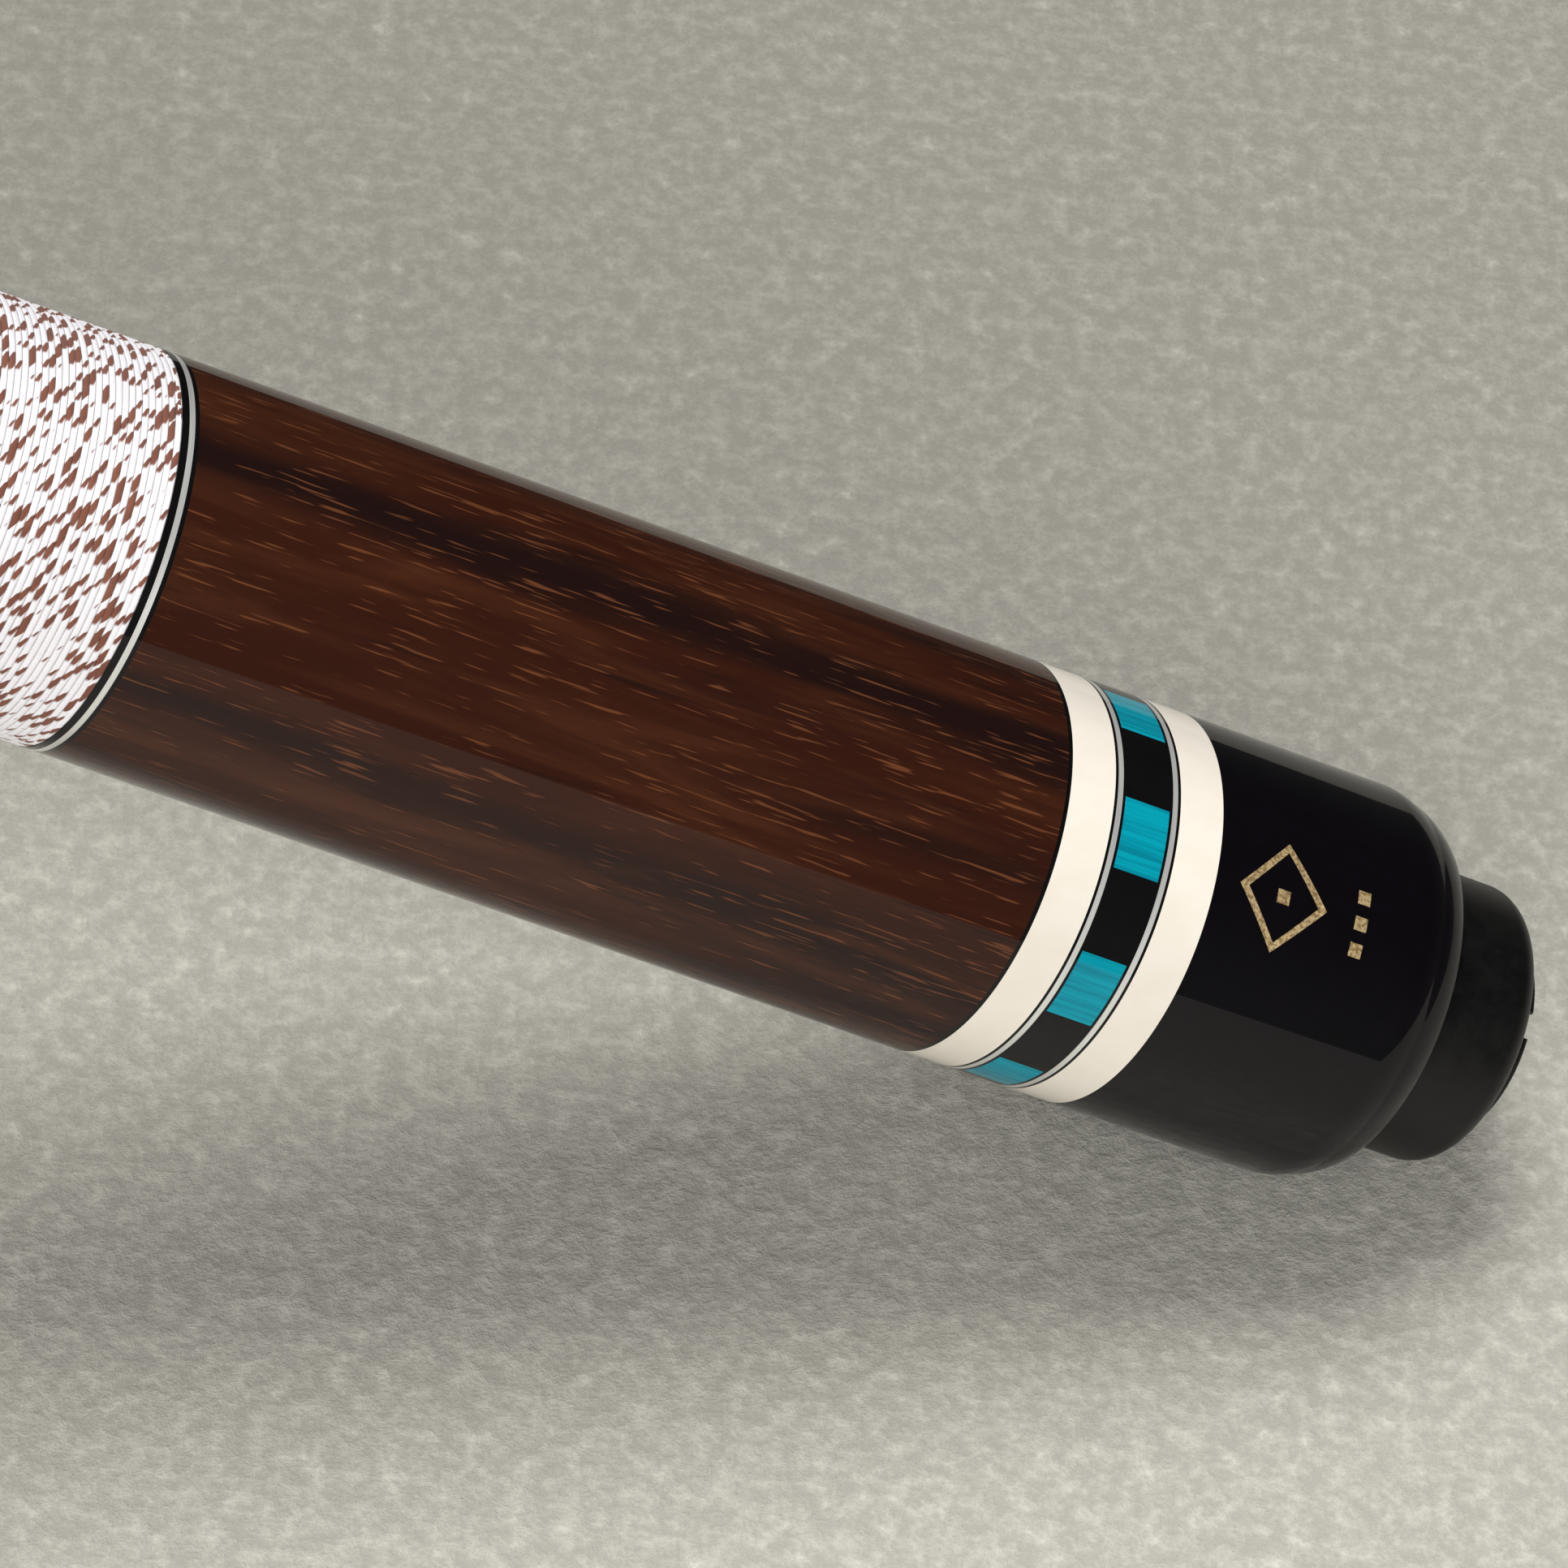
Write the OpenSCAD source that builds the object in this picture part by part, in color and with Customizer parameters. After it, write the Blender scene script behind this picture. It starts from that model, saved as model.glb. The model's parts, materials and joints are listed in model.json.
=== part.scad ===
// Two-piece pool cue: a butt with a ringed rosewood sleeve and linen wrap, and a
// screw-on shaft. The cue lies along X. The origin is the centre of the rubber
// bumper's end face, and the tip points toward -X. "Station" below means the
// distance from that end face toward the tip.

/* [Overall] */
// Length of the butt, from the bumper's end face to the joint face
butt_l = 736.6; // [500:1:900]
// Length of the shaft, from the joint face to the top of the tip
shaft_l = 736.6; // [500:1:900]
// Diameter of the butt at the cap's front edge
cap_d = 31.8; // [29:0.1:40]
// Diameter of the butt at the joint face
joint_d = 21.6; // [20.6:0.1:27]

/* [Bumper] */
// Diameter of the rubber bumper
bumper_d = 22.8; // [20:0.1:26]
// Length of the bumper that stands out of the cap
bumper_proud = 9.8; // [8:0.1:16]
// Radius of the bumper's outer edge
bumper_edge_r = 2; // [0.5:0.1:3]
// Outer diameter of the raised ribs on the bumper's end face
rib_d = 16.8; // [10:0.1:18]
// Width of each raised rib
rib_w = 1.2; // [0.6:0.1:3]
// Height of each raised rib
rib_h = 1.4; // [0.3:0.1:2]
// Diameter of the head of the stud moulded into the bumper
stud_head_d = 15; // [14:0.1:18]
// Thickness of that head
stud_head_t = 2.5; // [1:0.1:4]
// Thickness of the washer at the bumper's inner end
washer_t = 1; // [0.5:0.1:1.5]

/* [Cap] */
// Length of the butt cap
cap_l = 23; // [18:0.1:40]
// Length of the cap's rounded shoulder
shoulder_l = 2.25; // [1:0.05:3]
// Radius of the cap's rounded shoulder
shoulder_r = 6; // [4:0.1:12]
// Length of the cap's narrower end lip
lip_l = 2.35; // [1:0.05:4]
// Depth of the recess that takes the inner end of the bumper
recess_depth = 2.5; // [1.5:0.1:4]
// Thickness of the cap's end wall behind the recess
cap_wall = 1.8; // [1:0.1:4]

/* [Decorative rings] */
// Thickness of an ivory-coloured ring
ivory_t = 3.8; // [1:0.05:8]
// Thickness of the nickel silver rings
silver_t = 0.45; // [0.3:0.05:2]
// Thickness of the black line each side of a silver ring
line_t = 0.25; // [0.1:0.05:1]
// Thickness of the ring of turquoise and black blocks
block_t = 3.9; // [1:0.1:10]
// Number of turquoise blocks
block_count = 8; // [4:1:16]
// Share of the ring that is turquoise
block_share = 0.46; // [0.2:0.01:0.8]
// Angle of the first turquoise block round the cue
block_phase = 23.3; // [0:0.1:45]
// Thickness of the black line at each end of the sleeve
sleeve_line_t = 0.35; // [0.1:0.05:1]
// Thickness of the black ring beside the wrap
wrap_line_t = 0.54; // [0.2:0.02:2]

/* [Butt] */
// Length of the rosewood sleeve
sleeve_l = 72.6; // [40:0.1:90]
// Length of the linen wrap
wrap_l = 304.8; // [200:0.1:330]
// Thickness of the linen wrap
wrap_t = 0.7; // [0.4:0.05:1.2]
// Diameter of the handle's tenon inside the sleeve, rings and cap
tenon_d = 21; // [20:0.1:22]
// Diameter of the handle's front tenon inside the forearm
fore_tenon_d = 15; // [12:0.1:17]
// Length of that front tenon in the forearm
fore_tenon_l = 24; // [12:0.5:40]
// Length of the screw that joins the handle and the forearm
a_screw_l = 80; // [60:1:100]

/* [Joint] */
// Major diameter of the joint screw thread
pin_d = 9.52; // [8:0.01:10]
// Pitch of the joint screw thread
pin_pitch = 2.54; // [1:0.01:3]
// Turns that the shaft takes to come off the pin
joint_turns = 13; // [6:1:16]
// Length of the plain nose of the pin
pin_nose_l = 3; // [1:0.1:5]
// Length of the pin set into the forearm
pin_set_l = 46; // [30:1:60]
// Length of the black collar on the butt's joint
joint_collar_l = 24; // [12:0.5:40]
// Length of the black collar on the shaft
shaft_collar_l = 12; // [6:0.5:24]
// Thickness of the silver rings at the joint
joint_ring_t = 0.9; // [0.5:0.05:2]
// Diameter of the wood tenons inside both collars
collar_tenon_d = 16.4; // [15.8:0.1:17]
// Outer diameter of the insert in the shaft
insert_d = 14; // [12.5:0.1:15]
// Gap between the butt's and the shaft's joint faces
joint_gap = 0.1; // [0.05:0.01:0.3]

/* [Shaft] */
// Diameter of the tip, ferrule and straight end of the shaft
tip_d = 13; // [11.5:0.1:14]
// Length of the straight end of the shaft behind the ferrule
straight_l = 200; // [100:1:350]
// Length of the ferrule
ferrule_l = 25.4; // [12:0.1:30]
// Diameter of the wood tenon inside the ferrule
ferrule_tenon_d = 8; // [6:0.1:9]
// Thickness of the fibre pad under the tip
pad_t = 0.8; // [0.4:0.1:1.5]
// Height of the leather tip
tip_l = 6; // [5:0.1:9]
// Radius of the tip's dome
dome_r = 10.6; // [9:0.1:14]

/* [Weight and bumper thread] */
// Major diameter of the half-inch thread in the butt end, less its allowance
bolt_d = 12.5; // [12:0.01:14]
// Pitch of the thread in the butt end
bolt_pitch = 1.954; // [1:0.001:2.5]
// Turns that the bumper takes to come off
bumper_turns = 6; // [3:1:8]
// Length of the weight bolt
bolt_l = 50; // [25:1:60]
// Turns that the weight bolt can be screwed outward from where it sits
bolt_turns_out = 4; // [1:1:6]
// Turns that the weight bolt can be screwed inward from where it sits
bolt_turns_in = 10; // [4:1:14]
// Size across the flats of the weight bolt's hex socket
hex_af = 8; // [5:0.1:9]
// Outer diameter of the brass insert in the butt end
brass_d = 17; // [15.5:0.1:18]
// Length of the brass insert in the butt end
brass_l = 13; // [8:0.5:24]
// Length of the nylon locking ring on the weight bolt
lock_ring_l = 3; // [2:0.1:6]
// Depth of the groove that the locking ring sits in
lock_groove = 1.2; // [0.8:0.1:2]

/* [Hidden] */
run = 0.05;        // radial clearance of a screw in its thread
free_gap = 0.15;   // clearance between faces that turn past each other
loose_gap = 0.3;   // clearance of the bumper in the recess
profile_steps = 5; // straight pieces in each rounded stretch of an outline
taper_steps = 10;  // straight pieces in the shaft's curved taper
taper_power = 1.3; // how late the shaft's taper swells toward the joint
hole_extra = 1;    // how far a cut runs past the solid it cuts
rib_count = 3;
rib_gap = 2;       // gap between the ends of two ribs
rib_turn = 30;     // turn of the first gap about the cue, from straight up
stud_cover = 4;    // rubber between the stud's head and the bumper's inner end
lip_a0 = 12;       // where the cap's lip leaves the crease, from straight along the cue
lip_a1 = 38;       // where the cap's lip ends
hex_depth = 8;
bolt_room = 2.5;   // free space between the weight bolt and what is behind it
bore_room = 5;     // free space in front of the weight bolt when it is fully in
lock_ring_back = 8; // from the weight bolt's front end to its locking ring
groove_over = 1;   // how far the groove's cut stands outside the bolt
pin_room = 4;      // free space in the insert in front of the pin
pin_bevel = 1;     // how far the pin's nose is narrower than its thread, and how fast
pin_edge = 0.5;    // bevel at the very end of the pin
ferrule_end_wall = 6; // length of the ferrule that is solid in front of the tenon

// Taper of the butt: radius lost per millimetre toward the tip
cap_front = bumper_proud + cap_l;
butt_taper = (cap_d - joint_d) / 2 / (butt_l - cap_front);
function butt_r(s) = cap_d / 2 - butt_taper * (s - cap_front);

// Stations of the ring stack, counted from the cap's front edge
ivory_rear_s = cap_front;
line_1_s = ivory_rear_s + ivory_t;
silver_rear_s = line_1_s + line_t;
line_2_s = silver_rear_s + silver_t;
block_s = line_2_s + line_t;
line_3_s = block_s + block_t;
silver_front_s = line_3_s + line_t;
line_4_s = silver_front_s + silver_t;
ivory_front_s = line_4_s + line_t;
line_5_s = ivory_front_s + ivory_t;
sleeve_s = line_5_s + sleeve_line_t;
line_6_s = sleeve_s + sleeve_l;
silver_wrap_s = line_6_s + sleeve_line_t;
wrap_line_s = silver_wrap_s + silver_t;
wrap_s = wrap_line_s + wrap_line_t;
wrap_end_s = wrap_s + wrap_l;
top_silver_s = wrap_end_s + wrap_line_t;
forearm_s = top_silver_s + silver_t;

// Stations of the joint
joint_ring_s = butt_l - joint_collar_l - joint_ring_t;
joint_collar_s = butt_l - joint_collar_l;
pin_start_s = butt_l - pin_set_l;
pin_travel = joint_turns * pin_pitch;
pin_end_s = butt_l + pin_travel + pin_nose_l;
shaft_ring_s = butt_l + joint_gap;
shaft_collar_s = shaft_ring_s + joint_ring_t + free_gap;
shaft_wood_s = shaft_collar_s + shaft_collar_l;
insert_end_s = pin_end_s + pin_room;

// Stations of the shaft's far end
tip_s = butt_l + shaft_l;
pad_s = tip_s - tip_l - pad_t;
ferrule_s = pad_s - ferrule_l;
ferrule_wall_s = pad_s - ferrule_end_wall;
straight_s = ferrule_s - straight_l;

// Stations of the cap, bumper and weight bolt
recess_floor_s = bumper_proud + recess_depth;
tenon_s = recess_floor_s + cap_wall;
washer_s = recess_floor_s - free_gap - washer_t;
bumper_inner_s = washer_s - free_gap;
stud_head_s = bumper_inner_s - stud_cover - stud_head_t;
bumper_travel = bumper_turns * bolt_pitch;
stud_end_s = tenon_s + bumper_travel;
brass_end_s = tenon_s + brass_l;
bolt_s = max(stud_end_s, brass_end_s) + bolt_turns_out * bolt_pitch + bolt_room;
bolt_end_s = bolt_s + bolt_l;
bolt_bore_end_s = bolt_end_s + bolt_turns_in * bolt_pitch + bore_room;
lock_ring_s = bolt_end_s - lock_ring_back;
a_screw_s = wrap_end_s - a_screw_l / 2;

$fn = 64;

// Colours
black = "#15131a";
ivory = "#efe8d8";
silver = "#b9b9b4";
turquoise = "#109aa8";
rosewood = "#3a1712";
maple = "#d8b98a";
linen = "#dccfd6";
rubber = "#262624";
steel = "#8f9296";
brass = "#c09a4c";
phenolic = "#3b2a1c";
leather = "#6f5b47";

// Turns an outline of [radius, station] points about the cue's axis
module turned(points) {
    rotate([0, -90, 0]) rotate_extrude() polygon(points);
}

// A plain round bar between two stations
module bar(s0, s1, r) {
    rotate([0, -90, 0]) translate([0, 0, s0]) cylinder(h = s1 - s0, r = r);
}

// A plain round hole between two stations, run past both
module hole(s0, s1, r) {
    bar(s0 - hole_extra, s1 + hole_extra, r);
}

// A ring that follows the butt's taper between two stations
module butt_ring(s0, length, inner_r) {
    s1 = s0 + length;
    turned([[inner_r, s0], [butt_r(s0), s0], [butt_r(s1), s1], [inner_r, s1]]);
}

// A ring of the stack that sits on the handle's rear tenon
module stack_ring(s0, length) {
    butt_ring(s0, length, tenon_d / 2);
}

// Points of an arc, counted from straight along the cue toward the axis
function arc_points(centre_s, centre_r, r, a0, a1) =
    [for (i = [0:profile_steps]) let (a = a0 + (a1 - a0) * i / profile_steps)
        [centre_r + r * cos(a), centre_s - r * sin(a)]];

module bumper_rubber() {
    r = bumper_d / 2;
    edge = arc_points(bumper_edge_r, r - bumper_edge_r, bumper_edge_r, 0, 90);
    color(rubber) {
        difference() {
            turned(concat([[0, 0], [0, bumper_inner_s], [r, bumper_inner_s]], edge));
            bar(stud_head_s, stud_head_s + stud_head_t, stud_head_d / 2);
            hole(stud_head_s + stud_head_t, bumper_inner_s, bolt_d / 2);
        }
        difference() {
            bar(-rib_h, 0, rib_d / 2);
            hole(-rib_h, 0, rib_d / 2 - rib_w);
            for (i = [0:rib_count - 1])
                rotate([rib_turn + i * 360 / rib_count, 0, 0])
                    translate([-hole_extra, -rib_gap / 2, 0])
                        cube([rib_h + 2 * hole_extra, rib_gap, rib_d]);
        }
    }
}

module bumper_stud() {
    color(steel) {
        bar(stud_head_s, stud_head_s + stud_head_t, stud_head_d / 2);
        bar(stud_head_s, stud_end_s, bolt_d / 2);
    }
}

module bumper_washer() {
    color(steel)
        difference() {
            bar(washer_s, washer_s + washer_t, bumper_d / 2 - loose_gap);
            hole(washer_s, washer_s + washer_t, bolt_d / 2 + 2 * run);
        }
}

// The cap's outside: a straight taper, a rounded shoulder, then a narrower rounded lip
module butt_cap() {
    shoulder_s = bumper_proud + lip_l + shoulder_l;
    shoulder_top = butt_r(shoulder_s);
    shoulder_a = asin(shoulder_l / shoulder_r);
    crease_r = shoulder_top - shoulder_r * (1 - cos(shoulder_a));
    lip_r = lip_l / (sin(lip_a1) - sin(lip_a0));
    lip_centre_s = bumper_proud + lip_l + lip_r * sin(lip_a0);
    shoulder = arc_points(shoulder_s, shoulder_top - shoulder_r, shoulder_r, 0, shoulder_a);
    lip = arc_points(lip_centre_s, crease_r - lip_r * cos(lip_a0), lip_r, lip_a0, lip_a1);
    lip_after_crease = [for (i = [1:profile_steps]) lip[i]];
    color(black)
        difference() {
            turned(concat([[0, bumper_proud], [0, cap_front], [butt_r(cap_front), cap_front]],
                shoulder, lip_after_crease));
            hole(bumper_proud - hole_extra, recess_floor_s - hole_extra,
                bumper_d / 2 + loose_gap);
            hole(bumper_proud, tenon_s, bolt_d / 2 + 2 * run);
            hole(tenon_s + hole_extra, cap_front, tenon_d / 2);
        }
}

module brass_insert() {
    color(brass)
        difference() {
            bar(tenon_s, brass_end_s, brass_d / 2);
            hole(tenon_s, brass_end_s, bolt_d / 2 + run);
        }
}

module weight_bolt() {
    color(steel)
        difference() {
            bar(bolt_s, bolt_end_s, bolt_d / 2);
            rotate([0, -90, 0]) translate([0, 0, bolt_s - hole_extra])
                cylinder(h = hex_depth + hole_extra, d = hex_af / cos(30), $fn = 6);
            difference() {
                bar(lock_ring_s, lock_ring_s + lock_ring_l + 2 * free_gap,
                    bolt_d / 2 + groove_over);
                hole(lock_ring_s, lock_ring_s + lock_ring_l + 2 * free_gap,
                    bolt_d / 2 - lock_groove);
            }
        }
}

module weight_lock_ring() {
    s0 = lock_ring_s + free_gap;
    color(ivory)
        difference() {
            bar(s0, s0 + lock_ring_l, bolt_d / 2);
            hole(s0, s0 + lock_ring_l, bolt_d / 2 - lock_groove + run);
        }
}

// One sector of the block ring, centred on an angle round the cue
module block(angle, width) {
    reach = cap_d;
    half = width / 2;
    intersection() {
        stack_ring(block_s, block_t);
        rotate([angle, 0, 0]) rotate([0, -90, 0]) translate([0, 0, block_s - hole_extra])
            linear_extrude(block_t + 2 * hole_extra)
                polygon([[0, 0], [reach * sin(half), reach * cos(half)],
                    [-reach * sin(half), reach * cos(half)]]);
    }
}

module turquoise_blocks() {
    color(turquoise)
        for (i = [0:block_count - 1])
            block(block_phase + i * 360 / block_count, block_share * 360 / block_count);
}

module black_blocks() {
    color(black)
        for (i = [0:block_count - 1])
            block(block_phase + (i + 0.5) * 360 / block_count,
                (1 - block_share) * 360 / block_count);
}

module butt_sleeve() {
    color(rosewood) stack_ring(sleeve_s, sleeve_l);
}

module linen_wrap() {
    color(linen)
        turned([[butt_r(wrap_s) - wrap_t, wrap_s], [butt_r(wrap_s), wrap_s],
            [butt_r(wrap_end_s), wrap_end_s], [butt_r(wrap_end_s) - wrap_t, wrap_end_s]]);
}

// The maple handle: rear tenon, body under the wrap, front tenon into the forearm
module handle_core() {
    front_s = forearm_s + fore_tenon_l;
    color(maple)
        difference() {
            turned([[0, tenon_s], [tenon_d / 2, tenon_s], [tenon_d / 2, wrap_s],
                [butt_r(wrap_s) - wrap_t, wrap_s],
                [butt_r(wrap_end_s) - wrap_t, wrap_end_s],
                [fore_tenon_d / 2, wrap_end_s], [fore_tenon_d / 2, front_s],
                [0, front_s]]);
            hole(tenon_s, brass_end_s - hole_extra, brass_d / 2);
            bar(brass_end_s - hole_extra, bolt_bore_end_s, bolt_d / 2 + run);
            hole(a_screw_s + hole_extra, front_s, pin_d / 2);
        }
}

module a_joint_screw() {
    color(steel) bar(a_screw_s, a_screw_s + a_screw_l, pin_d / 2);
}

module forearm() {
    tenon_end_s = forearm_s + fore_tenon_l;
    color(rosewood)
        difference() {
            turned([[0, forearm_s], [butt_r(forearm_s), forearm_s],
                [butt_r(joint_ring_s), joint_ring_s], [collar_tenon_d / 2, joint_ring_s],
                [collar_tenon_d / 2, butt_l], [0, butt_l]]);
            hole(forearm_s, tenon_end_s - hole_extra, fore_tenon_d / 2);
            bar(tenon_end_s - hole_extra, max(a_screw_s + a_screw_l, tenon_end_s), pin_d / 2);
            hole(pin_start_s + hole_extra, butt_l, pin_d / 2);
        }
}

module joint_ring() {
    color(silver) butt_ring(joint_ring_s, joint_ring_t, collar_tenon_d / 2);
}

module joint_collar() {
    color(black) butt_ring(joint_collar_s, joint_collar_l, collar_tenon_d / 2);
}

module joint_pin() {
    nose_r = pin_d / 2 - pin_bevel;
    thread_end_s = pin_end_s - pin_nose_l;
    color(steel)
        turned([[0, pin_start_s], [pin_d / 2, pin_start_s], [pin_d / 2, thread_end_s],
            [nose_r, thread_end_s + pin_bevel], [nose_r, pin_end_s - pin_edge],
            [nose_r - pin_edge, pin_end_s], [0, pin_end_s]]);
}

module shaft_ring() {
    color(silver) butt_ring(shaft_ring_s, joint_ring_t, pin_d / 2 + loose_gap);
}

module shaft_collar() {
    color(black) butt_ring(shaft_collar_s, shaft_collar_l, collar_tenon_d / 2);
}

module shaft_insert() {
    color(phenolic)
        difference() {
            bar(shaft_collar_s, insert_end_s, insert_d / 2);
            hole(shaft_collar_s, insert_end_s, pin_d / 2 + run);
        }
}

// Radius of the shaft where it grows from its straight end toward the joint
function shaft_r(s) = let (share = (straight_s - s) / (straight_s - shaft_wood_s))
    tip_d / 2 + (butt_r(shaft_wood_s) - tip_d / 2) * pow(max(share, 0), taper_power);

module shaft() {
    taper = [for (i = [0:taper_steps])
        let (s = shaft_wood_s + (straight_s - shaft_wood_s) * i / taper_steps)
            [shaft_r(s), s]];
    color(maple)
        difference() {
            turned(concat([[0, shaft_collar_s], [collar_tenon_d / 2, shaft_collar_s],
                [collar_tenon_d / 2, shaft_wood_s]], taper, [[tip_d / 2, ferrule_s],
                [ferrule_tenon_d / 2, ferrule_s], [ferrule_tenon_d / 2, ferrule_wall_s],
                [0, ferrule_wall_s]]));
            hole(shaft_collar_s, insert_end_s - hole_extra, insert_d / 2);
        }
}

module ferrule() {
    color(ivory)
        difference() {
            bar(ferrule_s, pad_s, tip_d / 2);
            hole(ferrule_s, ferrule_wall_s - hole_extra, ferrule_tenon_d / 2);
        }
}

module tip_pad() {
    color(rubber) bar(pad_s, pad_s + pad_t, tip_d / 2);
}

module leather_tip() {
    color(leather)
        intersection() {
            bar(pad_s + pad_t, tip_s + hole_extra, tip_d / 2);
            translate([dome_r - tip_s, 0, 0]) rotate([0, 90, 0]) sphere(dome_r);
        }
}

bumper_rubber();
bumper_stud();
bumper_washer();
butt_cap();
brass_insert();
weight_bolt();
weight_lock_ring();
color(ivory) stack_ring(ivory_rear_s, ivory_t);  // ivory_ring_rear
color(silver) stack_ring(silver_rear_s, silver_t);  // silver_ring_rear
color(black) stack_ring(line_1_s, line_t);  // black_line_1
color(black) stack_ring(line_2_s, line_t);  // black_line_2
turquoise_blocks();
black_blocks();
color(black) stack_ring(line_3_s, line_t);  // black_line_3
color(silver) stack_ring(silver_front_s, silver_t);  // silver_ring_front
color(black) stack_ring(line_4_s, line_t);  // black_line_4
color(ivory) stack_ring(ivory_front_s, ivory_t);  // ivory_ring_front
color(black) stack_ring(line_5_s, sleeve_line_t);  // black_line_5
butt_sleeve();
color(black) stack_ring(line_6_s, sleeve_line_t);  // black_line_6
color(silver) stack_ring(silver_wrap_s, silver_t);  // silver_ring_wrap
color(black) stack_ring(wrap_line_s, wrap_line_t);  // black_ring_wrap
linen_wrap();
color(black) butt_ring(wrap_end_s, wrap_line_t, fore_tenon_d / 2);  // black_ring_top
color(silver) butt_ring(top_silver_s, silver_t, fore_tenon_d / 2);  // silver_ring_top
handle_core();
a_joint_screw();
forearm();
joint_ring();
joint_collar();
joint_pin();
shaft_ring();
shaft_collar();
shaft_insert();
shaft();
ferrule();
tip_pad();
leather_tip();
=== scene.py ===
# %% [markdown]
# # A two-piece pool cue
# The cue lies along X with its bumper's end face at the origin and its tip toward -X.
# The frame holds its true solids. This lesson gives each of them its finished surface:
# parts that come off a lathe are turned again from the frame's own sizes, the linen is
# wound as one long thread, and every screw gets a real helical thread.

# %% Load the frame
import json
import math

import bmesh
import bpy
from mathutils import Matrix, Vector


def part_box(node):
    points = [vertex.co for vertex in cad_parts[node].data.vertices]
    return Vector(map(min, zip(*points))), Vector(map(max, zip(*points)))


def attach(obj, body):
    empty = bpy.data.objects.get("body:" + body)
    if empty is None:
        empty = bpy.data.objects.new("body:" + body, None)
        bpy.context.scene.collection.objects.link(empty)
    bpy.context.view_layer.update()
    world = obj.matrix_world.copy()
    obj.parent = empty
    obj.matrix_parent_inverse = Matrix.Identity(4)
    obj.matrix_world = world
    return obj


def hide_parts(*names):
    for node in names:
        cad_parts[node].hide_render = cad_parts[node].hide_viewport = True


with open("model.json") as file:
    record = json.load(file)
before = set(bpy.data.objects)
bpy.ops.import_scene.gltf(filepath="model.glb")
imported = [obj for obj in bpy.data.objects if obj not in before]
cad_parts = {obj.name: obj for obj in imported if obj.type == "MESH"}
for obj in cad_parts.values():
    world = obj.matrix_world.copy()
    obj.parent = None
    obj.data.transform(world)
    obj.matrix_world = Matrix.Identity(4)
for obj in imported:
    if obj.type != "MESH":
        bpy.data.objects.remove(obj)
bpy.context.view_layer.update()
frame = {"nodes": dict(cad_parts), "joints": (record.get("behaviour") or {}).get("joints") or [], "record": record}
mm = 0.001


# %% [markdown]
# ## Sizes read from the frame
# "Station" is the distance from the bumper's end face toward the tip. Everything on a
# cue is round, so a node is described by two stations and by its least and greatest
# distance from the axis. Reading these keeps each finish on its own solid.

# %% Stations, radii and the butt's taper
def stations(node):
    lo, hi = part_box(node)
    return -hi.x, -lo.x


def radii(node):
    reach = [math.hypot(v.co.y, v.co.z) for v in frame["nodes"][node].data.vertices]
    return min(reach), max(reach)


def named(name):
    return next(j for j in frame["joints"] if j["name"] == name)


taper_start, cap_front_r = stations("ivory_ring_rear")[0], radii("ivory_ring_rear")[1]
collar_start, collar_r = stations("joint_collar")[0], radii("joint_collar")[1]
butt_taper = (cap_front_r - collar_r) / (collar_start - taper_start)


def butt_r(station):
    return cap_front_r - butt_taper * (station - taper_start)


print(f"butt tapers {butt_taper:.5f} in radius, from {cap_front_r / mm:.2f} mm")

# %% [markdown]
# ## Camera
# A long lens, a little over half a metre from the butt end. It looks down from the left
# side and back toward the bumper. A lens this long keeps the rings' curves flat, which
# is how a catalogue shows a cue.

# %% Camera
camera_place = Vector((-0.28479, -0.34604, 0.36184))
camera_forward = Vector((0.4062, 0.6322, -0.6598)).normalized()
camera_up = Vector((-0.3030, 0.7744, 0.5554))
camera_right = camera_forward.cross(camera_up).normalized()
camera_up = camera_right.cross(camera_forward)

camera = bpy.data.objects.new("camera", bpy.data.cameras.new("camera"))
camera.data.lens = 166.36
camera.data.sensor_width = 36
camera.data.clip_start = 0.01
turn = Matrix((camera_right, camera_up, -camera_forward)).transposed()
camera.matrix_world = Matrix.Translation(camera_place) @ turn.to_4x4()
bpy.context.scene.collection.objects.link(camera)
bpy.context.scene.camera = camera
bpy.context.scene.view_settings.view_transform = "Standard"
print("camera:", round(camera.data.lens), "mm lens")


# %% [markdown]
# ## Small helpers for materials
# Every finish is a node tree on the Principled shader. Patterns read Object coordinates,
# in metres, so a pattern's size is set by a scale per metre along and across the cue.
# A number that is the same all over a surface goes straight on the shader's socket.

# %% Material helpers
def new_material(name, **sockets):
    material = bpy.data.materials.new(name)
    material.use_nodes = True
    shader = material.node_tree.nodes["Principled BSDF"]
    for socket, value in sockets.items():
        shader.inputs[socket.replace("_", " ")].default_value = value
    return material, material.node_tree, shader


def node(tree, kind, **inputs):
    made = tree.nodes.new(kind)
    for socket, value in inputs.items():
        made.inputs[socket.replace("_", " ")].default_value = value
    return made


def stretched(tree, along, across, shift=0.0, lean=0.0):
    """Object coordinates scaled per metre, with a small lean off the cue's axis."""
    place = node(tree, "ShaderNodeTexCoord")
    mapping = node(tree, "ShaderNodeMapping")
    mapping.inputs["Location"].default_value = (shift, shift * 0.7, shift * 1.3)
    mapping.inputs["Rotation"].default_value = (0, lean, lean)
    mapping.inputs["Scale"].default_value = (along, across, across)
    tree.links.new(place.outputs["Object"], mapping.inputs["Vector"])
    return mapping.outputs["Vector"]


def noise(tree, vector, detail=2.0, roughness=0.5, distortion=0.0):
    made = node(tree, "ShaderNodeTexNoise", Scale=1.0, Detail=detail,
                Roughness=roughness, Distortion=distortion)
    tree.links.new(vector, made.inputs["Vector"])
    return made.outputs["Fac"]


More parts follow.
